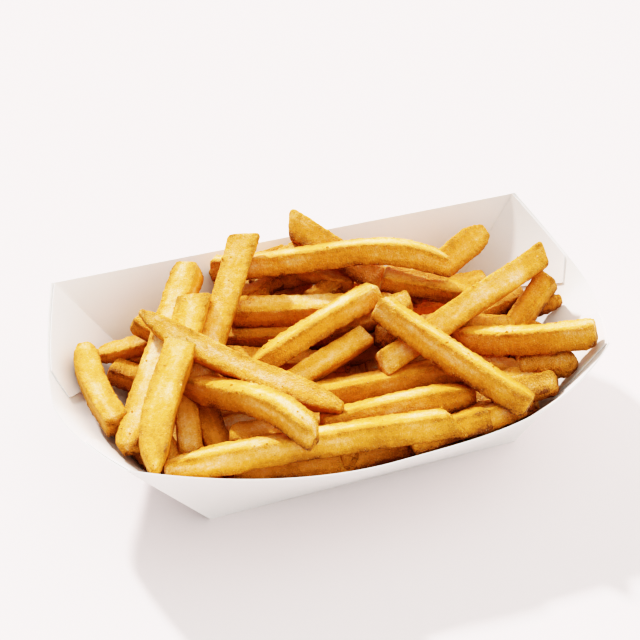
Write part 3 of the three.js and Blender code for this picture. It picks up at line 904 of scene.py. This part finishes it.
FRONT_FRIES = [
    fry((-19.8, -13.1, 30), (10.9, -2.5, 34.5), 7.6, 7.2, turn=20, tone=0.05),
    fry((15.9, -5.9, 34), (30, 20, 20), 7, 7, first="round", tone=0.1, crisp=0.8),
    fry((-14, -19, 28), (41, -21, 28), 8.6, 8.4, turn=-20, tone=0.2),
    fry((-15.6, -34.7, 31), (36, -36, 30), 8, 8.2, turn=-22, arch=1.5, last="taper", tone=0.15),
    fry((23.8, -41.5, 24.2), (53, -40.7, 27.2), 8, 8, turn=-35, tone=0.45),
    fry((-13, -30, 21), (-9.6, -47.3, 27.5), 7.6, 7.6, tone=0.05),
    fry((-46, -38.5, 25), (-14, -43.5, 24), 8, 8, turn=-35, tone=0.3),
    fry((-4, -42, 23), (29, -43.5, 24.5), 8, 8, turn=-37, tone=0.35),
    fry((-30, -14, 20), (8, -24, 17), 8, 8, tone=0.4),
]
fry_piece("back_fries", BACK_FRIES, fried_potato("back_crust"), rings=84, around=40, seed=200)
fry_piece("side_fries", SIDE_FRIES, fried_potato("crisp_crust"), rings=84, around=40, seed=300)
fry_piece("front_fries", FRONT_FRIES, fried_potato("front_crust"), rings=84, around=40, seed=400)

# ---- The fries underneath --------------------------------------------------------------------------
# The bottom of the heap, pressed together by what lies on it: one lump of potato that fills the tray's
# foot, a packed layer half sunk into its top, and a few fries that lean along the walls.

# The lump: how high its sides are, how much higher its middle is, how far it stays from the board,
# and the size and the range of the lumps on its top.
CORE_HEIGHT = 14.0
CORE_CROWN = 3.0
CORE_GAP = 1.2
CORE_LUMPS = (5.0, 2.4)
# How far the walls have leaned out at the ends and the sides once they reach their full height.
WALL_LEAN = (27.0, 9.0)
WALL_HEIGHT = 43.0
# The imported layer: how high it lies, its rows, how far in from the walls it stays, how far a fry may
# slant across it and turn about itself in degrees, how much higher one end may lie, where a row
# starts, and what its fries' lengths, widths, tones and gaps are drawn from.
LAYER_HEIGHT = 16.5
LAYER_ROWS = 8
LAYER_MARGIN = 7.0
LAYER_TILT = 8
LAYER_TURN = 20
LAYER_RISE = 0.8
LAYER_STARTS = (0, 6)
LAYER_LENGTHS = (38, 62)
LAYER_SHORTEST = 24
LAYER_WIDTHS = (7.2, 8.2)
LAYER_TONES = (0.05, 0.35)
LAYER_GAPS = (1, 3)
WALL_FRY_WIDTH = 7.6


def heap_core():
    """The lump's skin: up the tray's walls at one distance from them, then inwards to the middle, in
    shares of the way, over a low dome with lumps on it."""
    steps = np.arange(WALL_COLUMNS) / WALL_COLUMNS + 0.5 / WALL_COLUMNS
    heights = np.linspace(CORE_GAP + BOARD, CORE_HEIGHT, 8)
    sides = []
    for wall in WALLS:
        rim = wall_points(wall, steps, np.ones_like(steps))[:, 2]
        along, up = np.meshgrid(steps, heights, indexing="ij")
        up = up / rim[:, None]
        sides.append(wall_points(wall, along, up) + wall_normals(wall, along, up) * (BOARD + CORE_GAP))
    side = np.concatenate(sides).transpose(1, 0, 2)
    inwards = np.linspace(1, 0.02, 40)[:, None, None]
    dome = side[-1] * inwards
    dome[..., 2] = side[-1][:, 2] + CORE_CROWN * (1 - inwards[..., 0] ** 2)
    size, reach = CORE_LUMPS
    dome[..., 2] += reach * (lumps(dome, size, 41) - 0.5) * (1 - inwards[..., 0] ** 8)
    rings = np.concatenate([side, dome[1:]])
    count = rings.shape[1]
    ends = [rings[0].mean(0), rings[-1].mean(0)]
    faces = round_faces(len(rings), count)
    faces += fan_faces(0, count, rings.shape[0] * count, outwards=False)
    faces += fan_faces((len(rings) - 1) * count, count, rings.shape[0] * count + 1, outwards=True)
    return np.concatenate([rings.reshape(-1, 3), ends]), faces


def packed_layer(seed):
    """Rows of fries along the tray at one height, end to end, each turned a little at random."""
    rng = np.random.default_rng(seed)
    height = LAYER_HEIGHT
    reach = np.array(BASE_HALF) + np.array(WALL_LEAN) * (height / WALL_HEIGHT) - LAYER_MARGIN
    layer = []
    for y in np.linspace(-reach[1], reach[1], LAYER_ROWS):
        x = -reach[0] + rng.uniform(*LAYER_STARTS)
        while x < reach[0] - LAYER_SHORTEST:
            length = min(rng.uniform(*LAYER_LENGTHS), reach[0] - x)
            slope = math.tan(math.radians(rng.uniform(-LAYER_TILT, LAYER_TILT)))
            ends = np.clip([y - slope * length / 2, y + slope * length / 2], -reach[1], reach[1])
            rise = rng.uniform(-LAYER_RISE, LAYER_RISE)
            width, depth = rng.uniform(*LAYER_WIDTHS), rng.uniform(*LAYER_WIDTHS)
            turn = rng.uniform(-LAYER_TURN, LAYER_TURN)
            layer.append(fry((x, ends[0], height + rise), (x + length, ends[1], height - rise),
                             width, depth, turn=turn, tone=rng.uniform(*LAYER_TONES)))
            x += length + rng.uniform(*LAYER_GAPS)
    return layer


def wall_fry(wall, along, height, away, turn, tone):
    """A fry beside a wall, from one share along it to another, at two heights in millimetres; away is
    how far its middle line is from the wall's inner face."""
    along = np.array(along)
    rim = wall_points(wall, along, np.ones(2))[:, 2]
    up = np.array(height) / rim
    ends = wall_points(wall, along, up) + wall_normals(wall, along, up) * (BOARD + away)
    return fry(tuple(ends[0]), tuple(ends[1]), WALL_FRY_WIDTH, WALL_FRY_WIDTH, turn=turn, tone=tone)


LOWER_FRIES = packed_layer(seed=22) + [
    # Painted shade: the browner tones of the wall fries are partly painted shade, for the shade low
    # along the walls.
    wall_fry("front", (0.56, 0.74), (26.0, 27.0), 5.2, -35, 0.6),
    wall_fry("front", (0.71, 0.84), (25.0, 26.0), 4.9, -35, 0.15),
    wall_fry("front", (0.40, 0.58), (21.0, 20.0), 5.1, -35, 0.4),
    wall_fry("front", (0.22, 0.42), (20.0, 21.0), 5.2, -35, 0.4),
    wall_fry("left", (0.55, 0.86), (20.0, 22.0), 5.0, -35, 0.4),
    wall_fry("back", (0.50, 0.68), (27.0, 27.0), 5.3, -35, 0.35),
]
lower_crust = fried_potato("lower_crust", browning_and_shade=-0.25)
fry_piece("lower_fries", LOWER_FRIES, lower_crust, rings=56, around=32, seed=500)
core_points, core_faces = heap_core()
# Painted shade: the lump's crust is browner than the fries above it, standing for the shade deep in the
# heap.
shaded_core_crust = fried_potato("shaded_core_crust", browning_and_shade=0.35)
new_piece("heap_core", core_points, core_faces, shaded_core_crust, "potato")
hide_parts("fries")

# ---- The crumbs ------------------------------------------------------------------------------------
# Bits of crust, under a millimetre across, that have broken off the fries' edges and lie loose on
# the upper faces of the top ones.

CRUMBS = 150
CRUMB_SIZE = (0.35, 0.95)
CRUMB_STRETCH = (0.6, 1.3)
CRUMB_RINGS = 7
CRUMB_AROUND = 9
# The least upward part of the normals where crumbs lie.
CRUMB_LEVEL = 0.55


def upper_places(piece, count, rng):
    """Random points of a piece, in millimetres, where it is level enough for crumbs to lie."""
    mesh = piece.data
    places = np.empty(len(mesh.vertices) * 3)
    normals = np.empty(len(mesh.vertices) * 3)
    mesh.vertices.foreach_get("co", places)
    mesh.vertices.foreach_get("normal", normals)
    upper = np.flatnonzero(normals.reshape(-1, 3)[:, 2] > CRUMB_LEVEL)
    return places.reshape(-1, 3)[rng.choice(upper, count, replace=False)] / MM


def crumb_surface(place, size, rng):
    """A ball, squashed and stretched at random, with its radius changed by up to a third by lumps. The
    rings run from its lower pole to its upper one."""
    polar = np.linspace(math.pi - 0.15, 0.15, CRUMB_RINGS)[:, None]
    turn = np.linspace(0, 2 * math.pi, CRUMB_AROUND, endpoint=False)[None, :]
    ball = np.stack([
        np.sin(polar) * np.cos(turn), np.sin(polar) * np.sin(turn), np.cos(polar) + 0 * turn,
    ], -1)
    radius = 0.7 + 0.66 * lumps(ball * size + place, 0.6, 51)
    stretch = rng.uniform(*CRUMB_STRETCH, 3)
    return place + ball * radius[..., None] * stretch * size / 2


def crumb_piece(piece, seed):
    """All crumbs as one mesh, each a closed ball with a brownness of its own."""
    rng = np.random.default_rng(seed)
    balls = [
        crumb_surface(place, rng.uniform(*CRUMB_SIZE), rng)
        for place in upper_places(piece, CRUMBS, rng)
    ]
    parts = []
    for ball in balls:
        skin = ball.reshape(-1, 3)
        faces = round_faces(CRUMB_RINGS, CRUMB_AROUND)
        faces += fan_faces(0, CRUMB_AROUND, len(skin), outwards=False)
        faces += fan_faces(len(skin) - CRUMB_AROUND, CRUMB_AROUND, len(skin) + 1, outwards=True)
        parts.append((np.concatenate([skin, [ball[0].mean(0), ball[-1].mean(0)]]), faces))
    crumbs = new_piece("crumbs", *joined(parts), golden_crust, "potato")
    each = CRUMB_RINGS * CRUMB_AROUND + 2
    brown_and_shade = np.repeat(rng.uniform(0.0, 0.9, CRUMBS), each)
    crumbs.data.attributes.new("browning_and_shade", "FLOAT", "POINT").data.foreach_set("value", brown_and_shade)


crumb_piece(top_fries, seed=61)
